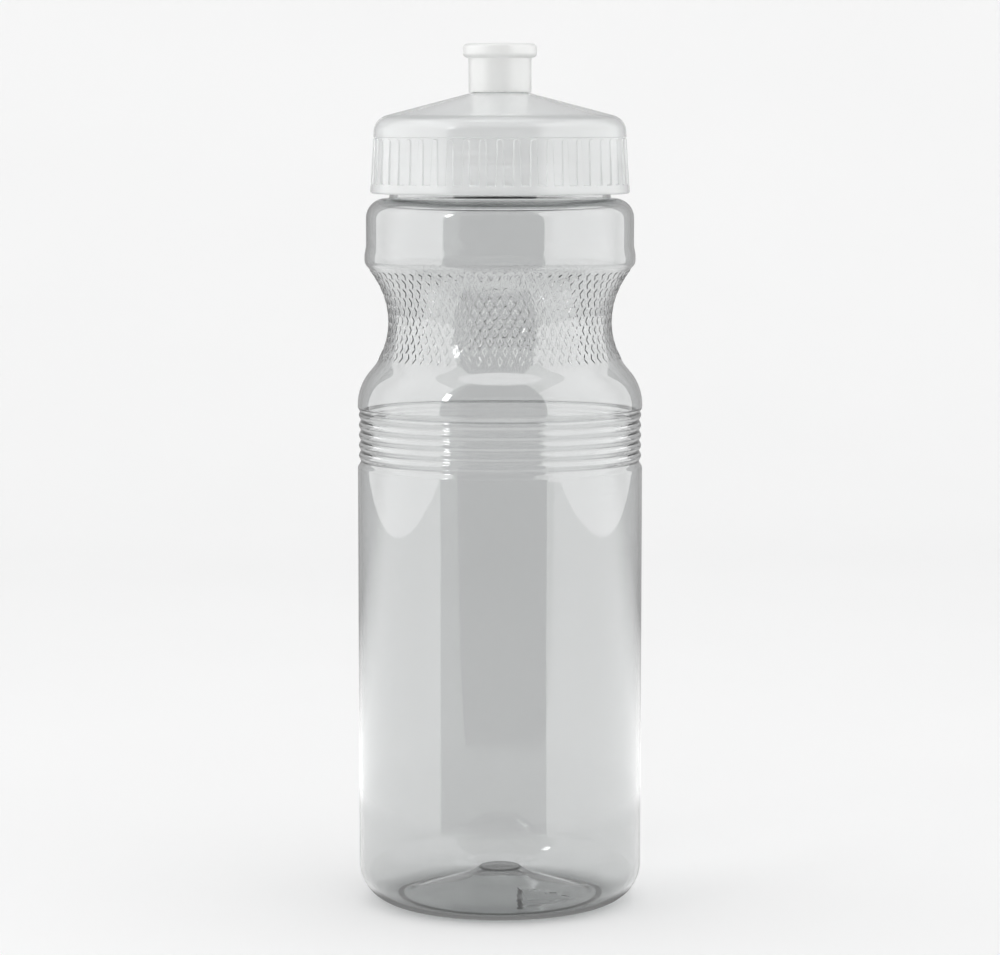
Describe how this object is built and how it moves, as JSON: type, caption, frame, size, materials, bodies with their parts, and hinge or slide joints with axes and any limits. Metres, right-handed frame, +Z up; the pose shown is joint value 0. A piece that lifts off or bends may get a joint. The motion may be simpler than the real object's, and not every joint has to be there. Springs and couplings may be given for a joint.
{
  "type": "water bottle",
  "caption": "Clear squeeze-shape bicycle bottle with a gripped waist, hoop ribs, a ribbed screw cap and a push-pull mouthpiece.",
  "frame": {"origin": "middle of the ring the bottle stands on", "axes": "+Z up along the bottle's axis; -Y is the front, where the neck's thread lead-in shows"},
  "size_m": [0.073, 0.073, 0.2202],
  "materials": {
    "clear_body": "clear, glossy, blow moulded polyester",
    "seal": "soft foamed polyethylene, off-white",
    "cap": "natural translucent polypropylene, satin",
    "mouthpiece": "natural translucent low-density polyethylene, satin"
  },
  "bodies": {
    "bottle": {"bottle": "clear_body"},
    "seal": {"seal_ring": "seal"},
    "cap": {"screw_cap": "cap"},
    "mouthpiece": {"mouthpiece": "mouthpiece"}
  },
  "joints": [
    {"name": "cap_lift", "type": "slide", "parent": "bottle", "child": "seal", "axis": [0, 0, 1], "range_m": [0, 0.00864]},
    {"name": "cap_turn", "type": "hinge", "parent": "seal", "child": "cap", "pos_m": [0, 0, 0.19], "axis": [0, 0, 1], "range_deg": [0, 734]},
    {"name": "mouthpiece_pull", "type": "slide", "parent": "cap", "child": "mouthpiece", "axis": [0, 0, 1], "range_m": [0, 0.0051]}
  ],
  "couplings": [
    {"joint": "cap_lift", "follows": "cap_turn", "m_per_rad": 0.00067376}
  ]
}
